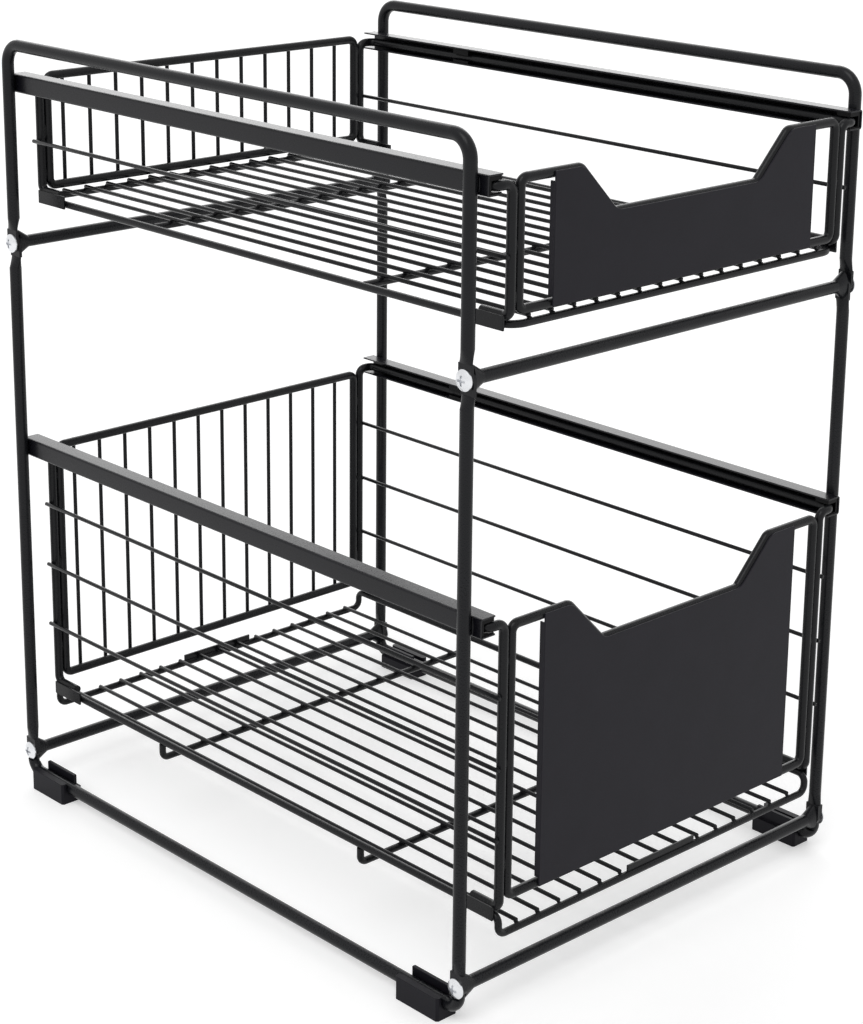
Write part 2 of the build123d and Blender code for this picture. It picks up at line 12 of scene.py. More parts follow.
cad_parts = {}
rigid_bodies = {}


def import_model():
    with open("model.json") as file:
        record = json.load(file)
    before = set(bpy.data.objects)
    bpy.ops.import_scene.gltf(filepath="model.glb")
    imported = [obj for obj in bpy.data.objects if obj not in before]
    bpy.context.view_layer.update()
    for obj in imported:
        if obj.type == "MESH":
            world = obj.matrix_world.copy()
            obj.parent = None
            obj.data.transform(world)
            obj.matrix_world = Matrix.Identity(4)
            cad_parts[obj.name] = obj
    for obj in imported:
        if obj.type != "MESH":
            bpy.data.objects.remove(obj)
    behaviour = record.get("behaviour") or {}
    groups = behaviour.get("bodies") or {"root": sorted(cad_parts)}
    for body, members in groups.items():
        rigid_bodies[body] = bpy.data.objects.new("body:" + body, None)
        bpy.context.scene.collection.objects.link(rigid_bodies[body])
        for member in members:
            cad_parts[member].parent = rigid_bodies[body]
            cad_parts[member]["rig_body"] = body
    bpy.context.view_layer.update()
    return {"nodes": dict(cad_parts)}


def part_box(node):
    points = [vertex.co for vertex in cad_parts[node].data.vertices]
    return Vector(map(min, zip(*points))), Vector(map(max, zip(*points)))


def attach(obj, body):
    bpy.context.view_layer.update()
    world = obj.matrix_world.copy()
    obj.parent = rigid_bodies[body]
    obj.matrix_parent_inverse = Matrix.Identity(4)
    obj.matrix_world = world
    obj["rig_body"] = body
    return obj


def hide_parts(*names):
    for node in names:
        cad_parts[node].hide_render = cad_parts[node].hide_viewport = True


bl_info = {
    "name": "Wire drawer shelf",
    "version": (1, 0, 0),
    "blender": (4, 5, 0),
    "location": "3D View > Sidebar > Shelf",
    "description": "Finishes a packed wire shelf: coats, welds, eased sheet edges and a studio",
    "category": "Object",
}

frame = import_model()

MM = 0.001

TIERS = ("lower", "upper")
SIDES = ("left", "right")
ENDS = ("front", "back")
LEVELS = ("bottom", "middle")
X, Y, Z = range(3)

# Finishes: the range that noise mostly keeps within, and the detail of the slow changes of tone
WHITE = (1.0, 1.0, 1.0, 1.0)
NOISE_LOW = 0.35
NOISE_HIGH = 0.65
SHADE_DETAIL = 3.0

# Corners this near are merged, faces within the flat angle joined, edges past the sharp one rounded
MERGE_DISTANCE = 0.002 * MM
FLAT_ANGLE = math.radians(1.0)
SHARP_ANGLE = math.radians(38.0)
EDGE_SEGMENTS = 3

# A wire's cut end: shares of the end's length, and shares of the full width there
WIRE_END_PROFILE = ((0.0, 0.62), (0.3, 0.86), (1.0, 1.0))

# Welds: sides and rings of a drop, and a nugget's breadth as a share of its width
DROP_SEGMENTS = 10
DROP_RINGS = 6
NUGGET_BREADTH = 0.92

# Where welds sit: shares of a support's width, of a loop's height and of a tube's radius
RIM_WELD_INSET = 0.75
POST_BEAD_PLACES = (0.14, 0.5, 0.86)
RAIL_BEAD_PLACE = 0.36

# How deep beads are: a share of the rod's radius at the posts, a length at the rails
POST_BEAD_DEPTH = 1.3
RAIL_BEAD_DEPTH = 1.1 * MM

# The photograph's camera: focal length and optical centre in its pixels, place in metres
IMAGE_W = 863
IMAGE_H = 1024
FOCAL_PX = 2400.5
OPTICAL_U = 439.4
OPTICAL_V = 358.9
CAMERA_PLACE = Vector((-0.94459, -1.01807, 0.68803))
CAMERA_AHEAD = Vector((0.6611, 0.7004, -0.2690))
CAMERA_RIGHT = Vector((0.7292, -0.6842, 0.0108))
SENSOR_MM = 36.0

# In metres: the near and far limits of its view, and how far off the lamps stand
CLIP_NEAR = 0.05
CLIP_FAR = 200.0
LAMP_DISTANCE = 3.0


def colour_property(name, description, default):
    """A colour setting."""
    return FloatVectorProperty(name=name, description=description, default=default,
                               subtype="COLOR", size=3, min=0.0, max=1.0)


def length_property(name, description, millimetres):
    """A length setting, given here in millimetres."""
    return FloatProperty(name=name, description=description, default=millimetres * MM, min=0.0,
                         subtype="DISTANCE", unit="LENGTH", precision=5)


class ShelfFinishSettings(PropertyGroup):
    """Colours and surface grain of the shelf's finishes."""

    tube_colour: colour_property("Tube", "Powder coat on the frame's tubes",
                                 (0.0072, 0.0076, 0.0092))
    rail_colour: colour_property("Rail", "Coat on the sheet rails", (0.0050, 0.0050, 0.0072))
    wire_colour: colour_property("Wire", "Coat on the drawers' wires", (0.0066, 0.0069, 0.0080))
    sheet_colour: colour_property("Sheet", "Fine matt coat on the drawer fronts",
                                  (0.0124, 0.0116, 0.0160))
    zinc_colour: colour_property("Zinc", "Bright plating of the screws", (0.74, 0.75, 0.77))
    foot_colour: colour_property("Foot", "Moulded plastic of the feet", (0.0084, 0.0080, 0.0112))
    slide_colour: colour_property("Slide", "Plastic of the guides and glides",
                                  (0.0018, 0.0018, 0.0022))
    peel_size: length_property("Peel", "Width of one ripple of the powder coat", 0.9)
    grain_size: length_property("Grain", "Width of one grain of the matt coat and plastic", 0.28)
    shade_size: length_property("Shading", "Width of the slow changes of tone", 26.0)


class ShelfWeldSettings(PropertyGroup):
    """Sizes of the welds."""

    nugget_width: length_property("Nugget", "Width of the weld where two wires cross", 3.0)
    nugget_height: length_property("Nugget height", "Height of that weld over the joint", 1.3)
    bead_width: length_property("Bead", "Width of the beads between rods side by side", 1.9)
    bead_length: length_property("Bead length", "Length of those beads", 9.0)
    uneven: FloatProperty(name="Unevenness", description="How much the welds differ in size",
                          default=0.16, min=0.0, max=0.5, subtype="FACTOR")
    seed: IntProperty(name="Seed", description="Seed of that difference", default=7, min=0)


class ShelfEdgeSettings(PropertyGroup):
    """Sizes of the eased edges and of the wires' rounded ends."""

    sheet_edge: length_property("Sheet edge", "Rounding of the drawer fronts' edges", 0.28)
    rail_edge: length_property("Rail edge", "Rounding of the rails' cut edges", 0.22)
    foot_edge: length_property("Foot edge", "Rounding of the moulded feet", 0.55)
    small_edge: length_property("Small edge", "Rounding of small plates and plastic parts", 0.2)
    wire_end: length_property("Wire end", "Length over which a wire's cut end is rounded", 0.55)
    wire_sides: IntProperty(name="Wire sides", description="Sides of a wire's round section",
                            default=16, min=8)


class ShelfStageSettings(PropertyGroup):
    """Floor, lamps and backdrop."""

    floor_size: length_property("Floor", "Width of the floor", 60000.0)
    floor_tone: FloatProperty(name="Floor tone", description="Share of light the floor gives back",
                              default=0.8, min=0.0, max=1.0, subtype="FACTOR")
    floor_glow: FloatProperty(name="Floor glow",
                              description="What lifts the floor to white for the camera",
                              default=0.37, min=0.0, max=1.0)
    sky_level: FloatProperty(name="Sky", description="Level of the soft light from all round",
                             default=0.60, min=0.0)
    key_level: FloatProperty(name="Key",
                             description="Strength of the lamp in front, above on the left",
                             default=0.95, min=0.0)
    back_level: FloatProperty(name="Back", description="Strength of the wide lamp behind",
                              default=0.85, min=0.0)


def finish_settings():
    """The finish settings of the open scene."""
    return bpy.context.scene.shelf_finish


def weld_settings():
    """The weld settings of the open scene."""
    return bpy.context.scene.shelf_welds


def edge_settings():
    """The edge settings of the open scene."""
    return bpy.context.scene.shelf_edges


def stage_settings():
    """The stage settings of the open scene."""
    return bpy.context.scene.shelf_stage


def add_node(tree, kind, **values):
    """A node of a tree, with its properties and its sockets' constants set by name."""
    node = tree.nodes.new(kind)
    for name, value in values.items():
        if hasattr(node, name):
            setattr(node, name, value)
        else:
            node.inputs[name.replace("_", " ")].default_value = value
    return node


def noise_value(tree, place, width, detail):
    """Noise whose ripples are about as wide as given, from 0 to 1."""
    noise = add_node(tree, "ShaderNodeTexNoise", Scale=1.0 / width, Detail=detail)
    tree.links.new(place, noise.inputs["Vector"])
    return noise.outputs["Fac"]


def ranged(tree, value, low, high):
    """A noise value spread from low to high."""
    spread = add_node(tree, "ShaderNodeMapRange", clamp=True)
    limits = {"From Min": NOISE_LOW, "From Max": NOISE_HIGH, "To Min": low, "To Max": high}
    for name, number in limits.items():
        spread.inputs[name].default_value = number
    tree.links.new(value, spread.inputs["Value"])
    return spread.outputs["Result"]


def surface(name, colour, ripple, detail, depth, tone_swing, rough, rough_swing, constants):
    """A procedural finish on Object coordinates: changing tone, uneven gloss, fine relief."""
    material = bpy.data.materials.new(name)
    material.use_nodes = True
    tree = material.node_tree
    tree.nodes.clear()
    output = tree.nodes.new("ShaderNodeOutputMaterial")
    shader = tree.nodes.new("ShaderNodeBsdfPrincipled")
    tree.links.new(shader.outputs["BSDF"], output.inputs["Surface"])
    place = tree.nodes.new("ShaderNodeTexCoord").outputs["Object"]
    slow = noise_value(tree, place, finish_settings().shade_size, SHADE_DETAIL)
    fine = noise_value(tree, place, ripple, detail)

    tone = add_node(tree, "ShaderNodeMix", data_type="RGBA")
    dark = [channel * (1.0 - tone_swing) for channel in colour]
    light = [channel * (1.0 + tone_swing) for channel in colour]
    tone.inputs["A"].default_value = (*dark, 1.0)
    tone.inputs["B"].default_value = (*light, 1.0)
    tree.links.new(ranged(tree, slow, 0.0, 1.0), tone.inputs["Factor"])
    tree.links.new(tone.outputs["Result"], shader.inputs["Base Color"])

    gloss = ranged(tree, fine, rough - rough_swing, rough + rough_swing)
    tree.links.new(gloss, shader.inputs["Roughness"])
    relief = add_node(tree, "ShaderNodeBump", Strength=1.0, Distance=depth)
    tree.links.new(fine, relief.inputs["Height"])
    tree.links.new(relief.outputs["Normal"], shader.inputs["Normal"])
    for socket, value in constants.items():
        shader.inputs[socket].default_value = value
    return material


def tube_coat():
    """Satin powder coat of the tubes, with its orange-peel ripple."""
    finish = finish_settings()
    return surface("tube_powder_coat", finish.tube_colour, finish.peel_size, detail=2.0,
                   depth=0.008 * MM, tone_swing=0.10, rough=0.29, rough_swing=0.04,
                   constants={"Specular IOR Level": 0.19, "IOR": 1.5})


def rail_coat():
    """Smoother coat of the sheet rails, which takes a bright sheen at low angles."""
    finish = finish_settings()
    return surface("rail_coat", finish.rail_colour, finish.peel_size, detail=1.0,
                   depth=0.002 * MM, tone_swing=0.08, rough=0.30, rough_swing=0.03,
                   constants={"Specular IOR Level": 0.20, "IOR": 1.5, "Coat Weight": 0.08,
                              "Coat Roughness": 0.14, "Coat IOR": 1.4})


def wire_coat():
    """Coat of the drawers' wires and small plates."""
    finish = finish_settings()
    return surface("wire_coat", finish.wire_colour, finish.peel_size, detail=2.0,
                   depth=0.007 * MM, tone_swing=0.12, rough=0.30, rough_swing=0.05,
                   constants={"Specular IOR Level": 0.19, "IOR": 1.5})


def sheet_coat():
    """Fine matt coat of the drawer fronts."""
    finish = finish_settings()
    return surface("sheet_matt_coat", finish.sheet_colour, finish.grain_size, detail=3.0,
                   depth=0.012 * MM, tone_swing=0.06, rough=0.52, rough_swing=0.05,
                   constants={"Specular IOR Level": 0.15, "IOR": 1.5})


def screw_zinc():
    """Bright zinc plating, a little cloudy."""
    finish = finish_settings()
    return surface("bright_zinc_plating", finish.zinc_colour, finish.grain_size, detail=2.0,
                   depth=0.006 * MM, tone_swing=0.06, rough=0.30, rough_swing=0.08,
                   constants={"Metallic": 1.0})


def foot_plastic():
    """Moulded plastic of the feet, with a fine eroded grain."""
    finish = finish_settings()
    return surface("grained_foot_plastic", finish.foot_colour, finish.grain_size, detail=3.0,
                   depth=0.020 * MM, tone_swing=0.08, rough=0.50, rough_swing=0.07,
                   constants={"Specular IOR Level": 0.14, "IOR": 1.48})


def slide_plastic():
    """Smooth plastic of the rail guides and runner glides."""
    finish = finish_settings()
    return surface("smooth_slide_plastic", finish.slide_colour, finish.grain_size, detail=1.0,
                   depth=0.004 * MM, tone_swing=0.06, rough=0.34, rough_swing=0.05,
                   constants={"Specular IOR Level": 0.10, "IOR": 1.5})


def paint(node, material):
    """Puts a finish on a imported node."""
    slots = frame["nodes"][node].data.materials
    if not slots:
        slots.append(material)
    for index in range(len(slots)):
        slots[index] = material


def node_body(node):
    """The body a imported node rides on."""
    return frame["nodes"][node]["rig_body"]


def merged_copy(node):
    """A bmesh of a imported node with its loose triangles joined."""
    shape = bmesh.new()
    shape.from_mesh(frame["nodes"][node].data)
    bmesh.ops.remove_doubles(shape, verts=shape.verts, dist=MERGE_DISTANCE)
    return shape


def solid_boxes(node):
    """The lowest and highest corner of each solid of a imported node, in order along X, Y and Z."""
    shape = merged_copy(node)
    unseen = set(shape.verts)
    boxes = []
    while unseen:
        waiting = [unseen.pop()]
        low, high = waiting[0].co.copy(), waiting[0].co.copy()
        while waiting:
            vertex = waiting.pop()
            low = Vector(map(min, low, vertex.co))
            high = Vector(map(max, high, vertex.co))
            for edge in vertex.link_edges:
                other = edge.other_vert(vertex)
                if other in unseen:
                    unseen.remove(other)
                    waiting.append(other)
        boxes.append((low, high))
    shape.free()
    return sorted(boxes, key=lambda box: tuple(box[0]))


def middle(box, axis):
    """The middle of a box along one axis."""
    return (box[0][axis] + box[1][axis]) / 2


def linked_object(name, data):
    """A new object in the open scene, with its mesh, lamp or camera."""
    piece = bpy.data.objects.new(name, data)
    bpy.context.scene.collection.objects.link(piece)
    return piece


def settled(piece):
    """Turns a piece's live modifiers into its plain mesh."""
    graph = bpy.context.evaluated_depsgraph_get()
    mesh = bpy.data.meshes.new_from_object(piece.evaluated_get(graph))
    piece.modifiers.clear()
    piece.data = mesh
    mesh.name = piece.name


def new_tree(name, inputs):
    """An empty Geometry Nodes tree with its named inputs, and its input and output nodes."""
    tree = bpy.data.node_groups.new(name, "GeometryNodeTree")
    tree.is_modifier = True
    tree.interface.new_socket("Geometry", in_out="INPUT", socket_type="NodeSocketGeometry")
    for socket_name, kind in inputs:
        tree.interface.new_socket(socket_name, in_out="INPUT", socket_type=kind)
    tree.interface.new_socket("Geometry", in_out="OUTPUT", socket_type="NodeSocketGeometry")
    return tree, tree.nodes.new("NodeGroupInput"), tree.nodes.new("NodeGroupOutput")


def run_tree(piece, tree, values):
    """Runs a tree on a piece with its named inputs and keeps the result as a plain mesh."""
    modifier = piece.modifiers.new(tree.name, "NODES")
    modifier.node_group = tree
    for item in tree.interface.items_tree:
        if item.in_out == "INPUT" and item.name in values:
            modifier[item.identifier] = values[item.name]
    settled(piece)


def weld_tree():
    """Geometry Nodes: a slightly uneven flattened drop on every point."""
    inputs = [("Size " + axis, "NodeSocketFloat") for axis in "XYZ"]
    inputs += [("Unevenness", "NodeSocketFloat"), ("Seed", "NodeSocketInt")]
    inputs += [("Finish", "NodeSocketMaterial")]
    tree, given, result = new_tree("weld_drops", inputs)
    drop = add_node(tree, "GeometryNodeMeshUVSphere",
                    Segments=DROP_SEGMENTS, Rings=DROP_RINGS, Radius=0.5)
    size = tree.nodes.new("ShaderNodeCombineXYZ")
    least = add_node(tree, "ShaderNodeMath", operation="SUBTRACT")
    least.inputs[0].default_value = 1.0
    most = add_node(tree, "ShaderNodeMath", operation="ADD")
    most.inputs[0].default_value = 1.0
    share = add_node(tree, "FunctionNodeRandomValue", data_type="FLOAT")
    scale = add_node(tree, "ShaderNodeVectorMath", operation="SCALE")
    spread = tree.nodes.new("GeometryNodeInstanceOnPoints")
    real = tree.nodes.new("GeometryNodeRealizeInstances")
    smooth = tree.nodes.new("GeometryNodeSetShadeSmooth")
    finish = tree.nodes.new("GeometryNodeSetMaterial")
    link = tree.links.new
    for axis in "XYZ":
        link(given.outputs["Size " + axis], size.inputs[axis])
    link(given.outputs["Unevenness"], least.inputs[1])
    link(given.outputs["Unevenness"], most.inputs[1])
    link(least.outputs[0], share.inputs["Min"])
    link(most.outputs[0], share.inputs["Max"])
    link(given.outputs["Seed"], share.inputs["Seed"])
    link(size.outputs[0], scale.inputs[0])
    link(share.outputs["Value"], scale.inputs["Scale"])
    link(given.outputs["Geometry"], spread.inputs["Points"])
    link(drop.outputs["Mesh"], spread.inputs["Instance"])
    link(scale.outputs[0], spread.inputs["Scale"])
    link(spread.outputs["Instances"], real.inputs["Geometry"])
    link(real.outputs["Geometry"], smooth.inputs["Geometry"])
    link(smooth.outputs["Geometry"], finish.inputs["Geometry"])
    link(given.outputs["Finish"], finish.inputs["Material"])
    link(finish.outputs["Geometry"], result.inputs["Geometry"])
    return tree


def wire_tree():
    """Geometry Nodes: a round wire along every line, drawn in at its two ends."""
    inputs = [("Diameter", "NodeSocketFloat"), ("Sides", "NodeSocketInt")]
    inputs += [("Finish", "NodeSocketMaterial")]
    tree, given, result = new_tree("round_wires", inputs)
    curves = tree.nodes.new("GeometryNodeMeshToCurve")
    share = add_node(tree, "GeometryNodeInputNamedAttribute", data_type="FLOAT", Name="width")
    radius = add_node(tree, "ShaderNodeMath", operation="MULTIPLY")
    half = add_node(tree, "ShaderNodeMath", operation="MULTIPLY")
    half.inputs[1].default_value = 0.5
    section = add_node(tree, "GeometryNodeCurvePrimitiveCircle", Radius=1.0)
    sweep = add_node(tree, "GeometryNodeCurveToMesh", Fill_Caps=True)
    smooth = tree.nodes.new("GeometryNodeSetShadeSmooth")
    finish = tree.nodes.new("GeometryNodeSetMaterial")
    link = tree.links.new
    link(given.outputs["Geometry"], curves.inputs["Mesh"])
    link(given.outputs["Diameter"], half.inputs[0])
    link(half.outputs[0], radius.inputs[0])
    link(share.outputs["Attribute"], radius.inputs[1])
    link(given.outputs["Sides"], section.inputs["Resolution"])
    link(curves.outputs["Curve"], sweep.inputs["Curve"])
    link(section.outputs["Curve"], sweep.inputs["Profile Curve"])
    link(radius.outputs[0], sweep.inputs["Scale"])
    link(sweep.outputs["Mesh"], smooth.inputs["Geometry"])
    link(smooth.outputs["Geometry"], finish.inputs["Geometry"])
    link(given.outputs["Finish"], finish.inputs["Material"])
    link(finish.outputs["Geometry"], result.inputs["Geometry"])
    return tree


def shared_tree(name, maker):
    """A node tree that is built once."""
    return bpy.data.node_groups.get(name) or maker()


def shared_finish(name, maker):
    """A material that is built once."""
    return bpy.data.materials.get(name) or maker()


def weld_group(name, points, size, body, material):
    """The welds of one kind on one body."""
    welds = weld_settings()
    mesh = bpy.data.meshes.new(name)
    mesh.from_pydata([tuple(point) for point in points], [], [])
    piece = linked_object(name, mesh)
    values = {"Size X": size[0], "Size Y": size[1], "Size Z": size[2], "Unevenness": welds.uneven,
              "Seed": welds.seed, "Finish": material}
    run_tree(piece, shared_tree("weld_drops", weld_tree), values)
    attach(piece, body)


def round_wires(node, axis):
    """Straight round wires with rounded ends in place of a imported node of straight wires."""
    edges = edge_settings()
    boxes = solid_boxes(node)
    across = (axis + 1) % 3
    diameter = boxes[0][1][across] - boxes[0][0][across]
    vertices, lines, widths = [], [], []
    for low, high in boxes:
        centre = (low + high) / 2
        first = len(vertices)
        steps = [(low[axis] + share * edges.wire_end, width) for share, width in WIRE_END_PROFILE]
        steps += [(high[axis] - share * edges.wire_end, width)
                  for share, width in reversed(WIRE_END_PROFILE)]
        for place, width in steps:
            point = centre.copy()
            point[axis] = place
            vertices.append(tuple(point))
            widths.append(width)
        lines += [(index, index + 1) for index in range(first, len(vertices) - 1)]
    mesh = bpy.data.meshes.new(node + "_round")
    mesh.from_pydata(vertices, lines, [])
    attribute = mesh.attributes.new("width", "FLOAT", "POINT")
    attribute.data.foreach_set("value", widths)
    piece = linked_object(node + "_round", mesh)
    values = {"Diameter": diameter, "Sides": edges.wire_sides,
              "Finish": shared_finish("wire_coat", wire_coat)}
    run_tree(piece, shared_tree("round_wires", wire_tree), values)
    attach(piece, node_body(node))
    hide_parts(node)


def eased(node, width, material):
    """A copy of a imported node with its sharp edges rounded, in the node's place."""
    shape = merged_copy(node)
    bmesh.ops.dissolve_limit(shape, angle_limit=FLAT_ANGLE, verts=shape.verts, edges=shape.edges)
    mesh = bpy.data.meshes.new(node + "_eased")
    shape.to_mesh(mesh)
    shape.free()
    mesh.materials.clear()
    mesh.materials.append(material)
    mesh.shade_smooth()
    mesh.set_sharp_from_angle(angle=SHARP_ANGLE)
    piece = linked_object(node + "_eased", mesh)
    bevel = piece.modifiers.new("edges", "BEVEL")
    bevel.width = width
    bevel.segments = EDGE_SEGMENTS
    bevel.limit_method = "ANGLE"
    bevel.angle_limit = SHARP_ANGLE
    bevel.use_clamp_overlap = True
    bevel.harden_normals = True
    settled(piece)
    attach(piece, node_body(node))
    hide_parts(node)


class SHELF_OT_frame_tubes(Operator):
    """Coat the side frames and the cross bars"""

    bl_idname = "shelf.frame_tubes"
    bl_label = "Frame tubes"

    def execute(self, context):
        coat = shared_finish("tube_powder_coat", tube_coat)
        for tier in TIERS:
            for side in SIDES:
                paint(f"{tier}_frame_{side}", coat)
        for level in LEVELS:
            for end in ENDS:
                paint(f"{level}_cross_bar_{end}", coat)
        return {"FINISHED"}


class SHELF_OT_rails(Operator):
    """Ease and coat the rails, and weld them to the legs"""

    bl_idname = "shelf.rails"
    bl_label = "Rails"

    def execute(self, context):
        coat = shared_finish("rail_coat", rail_coat)
        welds = weld_settings()
        beads = []
        for tier in TIERS:
            for side in SIDES:
                node = f"{tier}_rail_{side}"
                low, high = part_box(node)
                eased(node, edge_settings().rail_edge, coat)
                outer_x = low.x if side == "left" else high.x
                leg_low, leg_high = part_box(f"upper_frame_{side}")
                tube_r = (leg_high.x - leg_low.x) / 2
                for leg_y in (leg_low.y + tube_r, leg_high.y - tube_r):
                    for step in (-1, 1):
                        bead_y = leg_y + step * tube_r * RAIL_BEAD_PLACE
                        beads.append((outer_x, bead_y, (low.z + high.z) / 2))
        size = (RAIL_BEAD_DEPTH, welds.bead_width, welds.bead_length)
        weld_group("rail_weld_beads", beads, size, "frame",
                   shared_finish("tube_powder_coat", tube_coat))
        return {"FINISHED"}


class SHELF_OT_screws(Operator):
    """Plate the joint screws"""

    bl_idname = "shelf.screws"
    bl_label = "Joint screws"

    def execute(self, context):
        zinc = shared_finish("bright_zinc_plating", screw_zinc)
        for level in LEVELS:
            paint(f"{level}_joint_screws", zinc)
        return {"FINISHED"}


class SHELF_OT_feet(Operator):
    """Ease and finish the clip-on feet"""

    bl_idname = "shelf.feet"
    bl_label = "Feet"

    def execute(self, context):
        plastic = shared_finish("grained_foot_plastic", foot_plastic)
        for end in ENDS:
            for side in SIDES:
                eased(f"foot_{end}_{side}", edge_settings().foot_edge, plastic)
        return {"FINISHED"}


class SHELF_OT_slides(Operator):
    """Finish the rail guides and the runner glides"""

    bl_idname = "shelf.slides"
    bl_label = "Guides and glides"

    def execute(self, context):
        plastic = shared_finish("smooth_slide_plastic", slide_plastic)
        width = edge_settings().small_edge
        for tier in TIERS:
            for side in SIDES:
                eased(f"{tier}_rail_guide_{side}", width, plastic)
                paint(f"{tier}_runner_glide_{side}", plastic)
        return {"FINISHED"}


class SHELF_OT_drawer_rods(Operator):
    """Coat the drawers' thick wires and small plates"""

    bl_idname = "shelf.drawer_rods"
    bl_label = "Drawer frames"

    def execute(self, context):
        coat = shared_finish("wire_coat", wire_coat)
        for tier in TIERS:
            for part in ("back_frame", "front_frame", "floor_rim", "floor_supports"):
                paint(f"{tier}_{part}", coat)
            for side in SIDES:
                paint(f"{tier}_side_frame_{side}", coat)
            eased(f"{tier}_corner_plates", edge_settings().small_edge, coat)
        eased("lower_edge_strips", edge_settings().small_edge, coat)
        return {"FINISHED"}


class SHELF_OT_thin_wires(Operator):
    """Draw the thin wires of the floors, backs and sides"""

    bl_idname = "shelf.thin_wires"
    bl_label = "Thin wires"

    def execute(self, context):
        for tier in TIERS:
            round_wires(f"{tier}_floor_wires", Y)
            round_wires(f"{tier}_back_wires", Z)
            for side in SIDES:
                round_wires(f"{tier}_side_wires_{side}", Y)
        return {"FINISHED"}


class SHELF_OT_front_plates(Operator):
    """Ease and coat the sheet fronts"""

    bl_idname = "shelf.front_plates"
    bl_label = "Front plates"

    def execute(self, context):
        coat = shared_finish("sheet_matt_coat", sheet_coat)
        for tier in TIERS:
            eased(f"{tier}_front_plate", edge_settings().sheet_edge, coat)
        return {"FINISHED"}


class SHELF_OT_floor_welds(Operator):
    """Weld the floor wires to the rims and supports"""

    bl_idname = "shelf.floor_welds"
    bl_label = "Floor welds"

    def execute(self, context):
        coat = shared_finish("wire_coat", wire_coat)
        welds = weld_settings()
        for tier in TIERS:
            wires = solid_boxes(f"{tier}_floor_wires")
            rim_low, rim_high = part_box(f"{tier}_floor_rim")
            supports = solid_boxes(f"{tier}_floor_supports")
            support_d = supports[0][1].y - supports[0][0].y
            inset = support_d * RIM_WELD_INSET
            rows = [rim_low.y + inset, rim_high.y - inset, *(middle(box, Y) for box in supports)]
            joint_z = wires[0][0].z
            points = [(middle(wire, X), row, joint_z) for wire in wires for row in rows]
            size = (welds.nugget_width * NUGGET_BREADTH, welds.nugget_width, welds.nugget_height)
            weld_group(f"{tier}_floor_welds", points, size, f"{tier}_drawer", coat)
        return {"FINISHED"}


def bead_heights(low, high):
    """The heights of the beads between a post and the upright of the loop beside it."""
    return [low + (high - low) * share for share in POST_BEAD_PLACES]


class SHELF_OT_panel_welds(Operator):
    """Weld the upright and level wires and the posts"""

    bl_idname = "shelf.panel_welds"
    bl_label = "Panel welds"

    def execute(self, context):
        coat = shared_finish("wire_coat", wire_coat)
        welds = weld_settings()
        width, height = welds.nugget_width, welds.nugget_height
        breadth = width * NUGGET_BREADTH
        for tier in TIERS:
            body = f"{tier}_drawer"
            back_low, back_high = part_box(f"{tier}_back_frame")
            front_low, front_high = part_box(f"{tier}_front_frame")
            rod_r = (back_high.y - back_low.y) / 2
            rows = (back_low.z + rod_r, back_high.z - rod_r)
            points = [(middle(wire, X), back_high.y, row)
                      for wire in solid_boxes(f"{tier}_back_wires") for row in rows]
            weld_group(f"{tier}_back_welds", points, (width, height, breadth), body, coat)

            side_points, post_points = [], []
            for side in SIDES:
                side_low, side_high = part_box(f"{tier}_side_frame_{side}")
                front_post, back_post = side_low.y + rod_r, side_high.y - rod_r
                wires = solid_boxes(f"{tier}_side_wires_{side}")
                joint_x = wires[0][1].x if side == "left" else wires[0][0].x
                side_points += [(joint_x, post, middle(wire, Z))
                                for wire in wires for post in (front_post, back_post)]
                panel_x = back_low.x if side == "left" else back_high.x
                post_points += [(panel_x, front_post, bead_z)
                                for bead_z in bead_heights(front_low.z, front_high.z)]
                post_points += [(panel_x, back_post, bead_z)
                                for bead_z in bead_heights(back_low.z, back_high.z)]
            weld_group(f"{tier}_side_welds", side_points, (height, breadth, width), body, coat)
            bead = (welds.bead_width, rod_r * POST_BEAD_DEPTH, welds.bead_length)
            weld_group(f"{tier}_post_welds", post_points, bead, body, coat)
        return {"FINISHED"}


def ray_share(tree):
    """1 for the rays of the camera, of gloss and of transmission, and 0 for the others."""
    path = tree.nodes.new("ShaderNodeLightPath")
    seen = path.outputs["Is Camera Ray"]
    for name in ("Is Glossy Ray", "Is Transmission Ray"):
        either = add_node(tree, "ShaderNodeMath", operation="MAXIMUM")
        tree.links.new(seen, either.inputs[0])
        tree.links.new(path.outputs[name], either.inputs[1])
        seen = either.outputs[0]
    return seen


def make_world(level):
    """A white backdrop for the camera and for gloss, and a plain soft light for the rest."""
    world = bpy.data.worlds.new("white_studio")
    world.use_nodes = True
    tree = world.node_tree
    tree.nodes.clear()
    output = tree.nodes.new("ShaderNodeOutputWorld")
    soft = add_node(tree, "ShaderNodeBackground", Color=WHITE, Strength=level)
    white = add_node(tree, "ShaderNodeBackground", Color=WHITE, Strength=1.0)
    mix = tree.nodes.new("ShaderNodeMixShader")
    tree.links.new(ray_share(tree), mix.inputs[0])
    tree.links.new(soft.outputs[0], mix.inputs[1])
    tree.links.new(white.outputs[0], mix.inputs[2])
    tree.links.new(mix.outputs[0], output.inputs["Surface"])
    bpy.context.scene.world = world


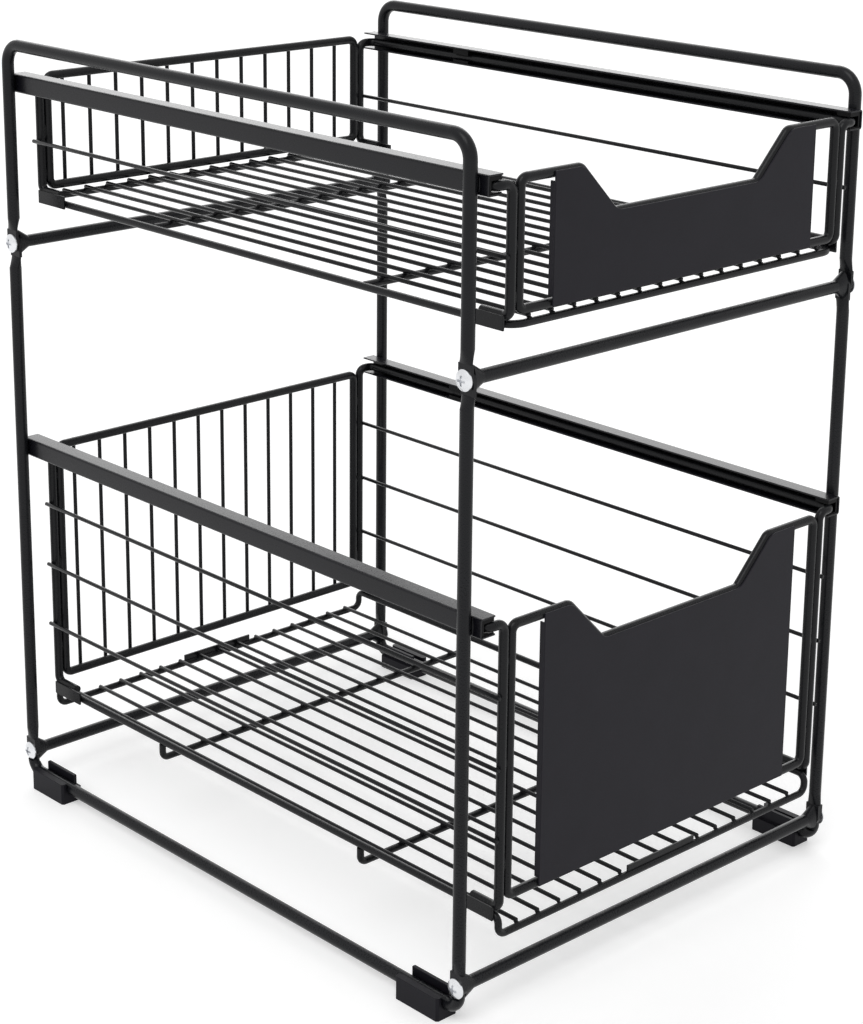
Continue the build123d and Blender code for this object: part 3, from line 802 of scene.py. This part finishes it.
def floor_material(tone, glow):
    """Pale floor that the camera sees as white where no shadow falls."""
    material = bpy.data.materials.new("studio_floor")
    material.use_nodes = True
    tree = material.node_tree
    tree.nodes.clear()
    output = tree.nodes.new("ShaderNodeOutputMaterial")
    paper = add_node(tree, "ShaderNodeBsdfDiffuse", Color=(tone, tone, tone, 1.0))
    light = add_node(tree, "ShaderNodeEmission", Color=WHITE)
    strength = add_node(tree, "ShaderNodeMath", operation="MULTIPLY")
    strength.inputs[1].default_value = glow
    both = tree.nodes.new("ShaderNodeAddShader")
    tree.links.new(ray_share(tree), strength.inputs[0])
    tree.links.new(strength.outputs[0], light.inputs["Strength"])
    tree.links.new(paper.outputs[0], both.inputs[0])
    tree.links.new(light.outputs[0], both.inputs[1])
    tree.links.new(both.outputs[0], output.inputs["Surface"])
    return material


def add_lamp(name, level, spread, azimuth, elevation):
    """A wide, even lamp that shines on the shelf from one direction. Its angles are in degrees."""
    lamp = bpy.data.lights.new(name, "SUN")
    lamp.energy = level
    lamp.angle = math.radians(spread)
    turn, rise = math.radians(azimuth), math.radians(elevation)
    ahead, aside = -math.cos(turn) * math.cos(rise), math.sin(turn) * math.cos(rise)
    away = Vector((aside, ahead, math.sin(rise)))
    piece = linked_object(name, lamp)
    piece.rotation_mode = "QUATERNION"
    piece.rotation_quaternion = away.to_track_quat("Z", "Y")
    piece.location = away * LAMP_DISTANCE


def add_camera():
    """The camera at the photograph's place, with its optical centre off the picture's middle."""
    data = bpy.data.cameras.new("camera")
    data.sensor_width = SENSOR_MM
    longer = max(IMAGE_W, IMAGE_H)
    data.lens = FOCAL_PX * SENSOR_MM / longer
    data.shift_x = ((IMAGE_W - 1) / 2 - OPTICAL_U) / longer
    data.shift_y = (OPTICAL_V - (IMAGE_H - 1) / 2) / longer
    data.clip_start = CLIP_NEAR
    data.clip_end = CLIP_FAR
    ahead = CAMERA_AHEAD.normalized()
    right = (CAMERA_RIGHT - ahead * CAMERA_RIGHT.dot(ahead)).normalized()
    up = right.cross(ahead)
    turn = Matrix((right, up, -ahead)).transposed()
    piece = linked_object("camera", data)
    piece.matrix_world = Matrix.Translation(CAMERA_PLACE) @ turn.to_4x4()
    bpy.context.scene.camera = piece


class SHELF_OT_stage(Operator):
    """Set up the floor, the lamps, the white backdrop and the camera"""

    bl_idname = "shelf.stage"
    bl_label = "Studio"

    def execute(self, context):
        stage = stage_settings()
        half = stage.floor_size / 2
        mesh = bpy.data.meshes.new("floor")
        corners = [(-half, -half, 0), (half, -half, 0), (half, half, 0), (-half, half, 0)]
        mesh.from_pydata(corners, [], [(0, 1, 2, 3)])
        mesh.materials.append(floor_material(stage.floor_tone, stage.floor_glow))
        floor = linked_object("floor", mesh)
        make_world(stage.sky_level)
        add_lamp("key_lamp", stage.key_level, spread=36.0, azimuth=-70.0, elevation=58.0)
        add_lamp("back_lamp", stage.back_level, spread=50.0, azimuth=138.0, elevation=27.0)
        add_camera()
        context.scene.view_settings.view_transform = "Standard"
        return {"FINISHED"}


class SHELF_PT_steps(Panel):
    """The steps that dress the shelf, in order"""

    bl_idname = "SHELF_PT_steps"
    bl_label = "Wire drawer shelf"
    bl_space_type = "VIEW_3D"
    bl_region_type = "UI"
    bl_category = "Shelf"

    def draw(self, context):
        for step in STEPS:
            self.layout.operator(step.bl_idname)
        for settings in ("shelf_finish", "shelf_welds", "shelf_edges", "shelf_stage"):
            group = getattr(context.scene, settings)
            box = self.layout.box()
            for name in group.__annotations__:
                box.prop(group, name)


STEPS = (
    SHELF_OT_frame_tubes,
    SHELF_OT_rails,
    SHELF_OT_screws,
    SHELF_OT_feet,
    SHELF_OT_slides,
    SHELF_OT_drawer_rods,
    SHELF_OT_thin_wires,
    SHELF_OT_front_plates,
    SHELF_OT_floor_welds,
    SHELF_OT_panel_welds,
    SHELF_OT_stage,
)
SETTINGS = {
    "shelf_finish": ShelfFinishSettings,
    "shelf_welds": ShelfWeldSettings,
    "shelf_edges": ShelfEdgeSettings,
    "shelf_stage": ShelfStageSettings,
}


def register():
    """Registers the settings, the steps and the panel."""
    for name, group in SETTINGS.items():
        bpy.utils.register_class(group)
        setattr(bpy.types.Scene, name, PointerProperty(type=group))
    for step in STEPS:
        bpy.utils.register_class(step)
    bpy.utils.register_class(SHELF_PT_steps)


def unregister():
    """Takes them away again."""
    bpy.utils.unregister_class(SHELF_PT_steps)
    for step in reversed(STEPS):
        bpy.utils.unregister_class(step)
    for name, group in SETTINGS.items():
        delattr(bpy.types.Scene, name)
        bpy.utils.unregister_class(group)


def main():
    """Registers the add-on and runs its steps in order."""
    register()
    for step in STEPS:
        group, name = step.bl_idname.split(".")
        getattr(getattr(bpy.ops, group), name)()


if __name__ == "__main__":
    main()
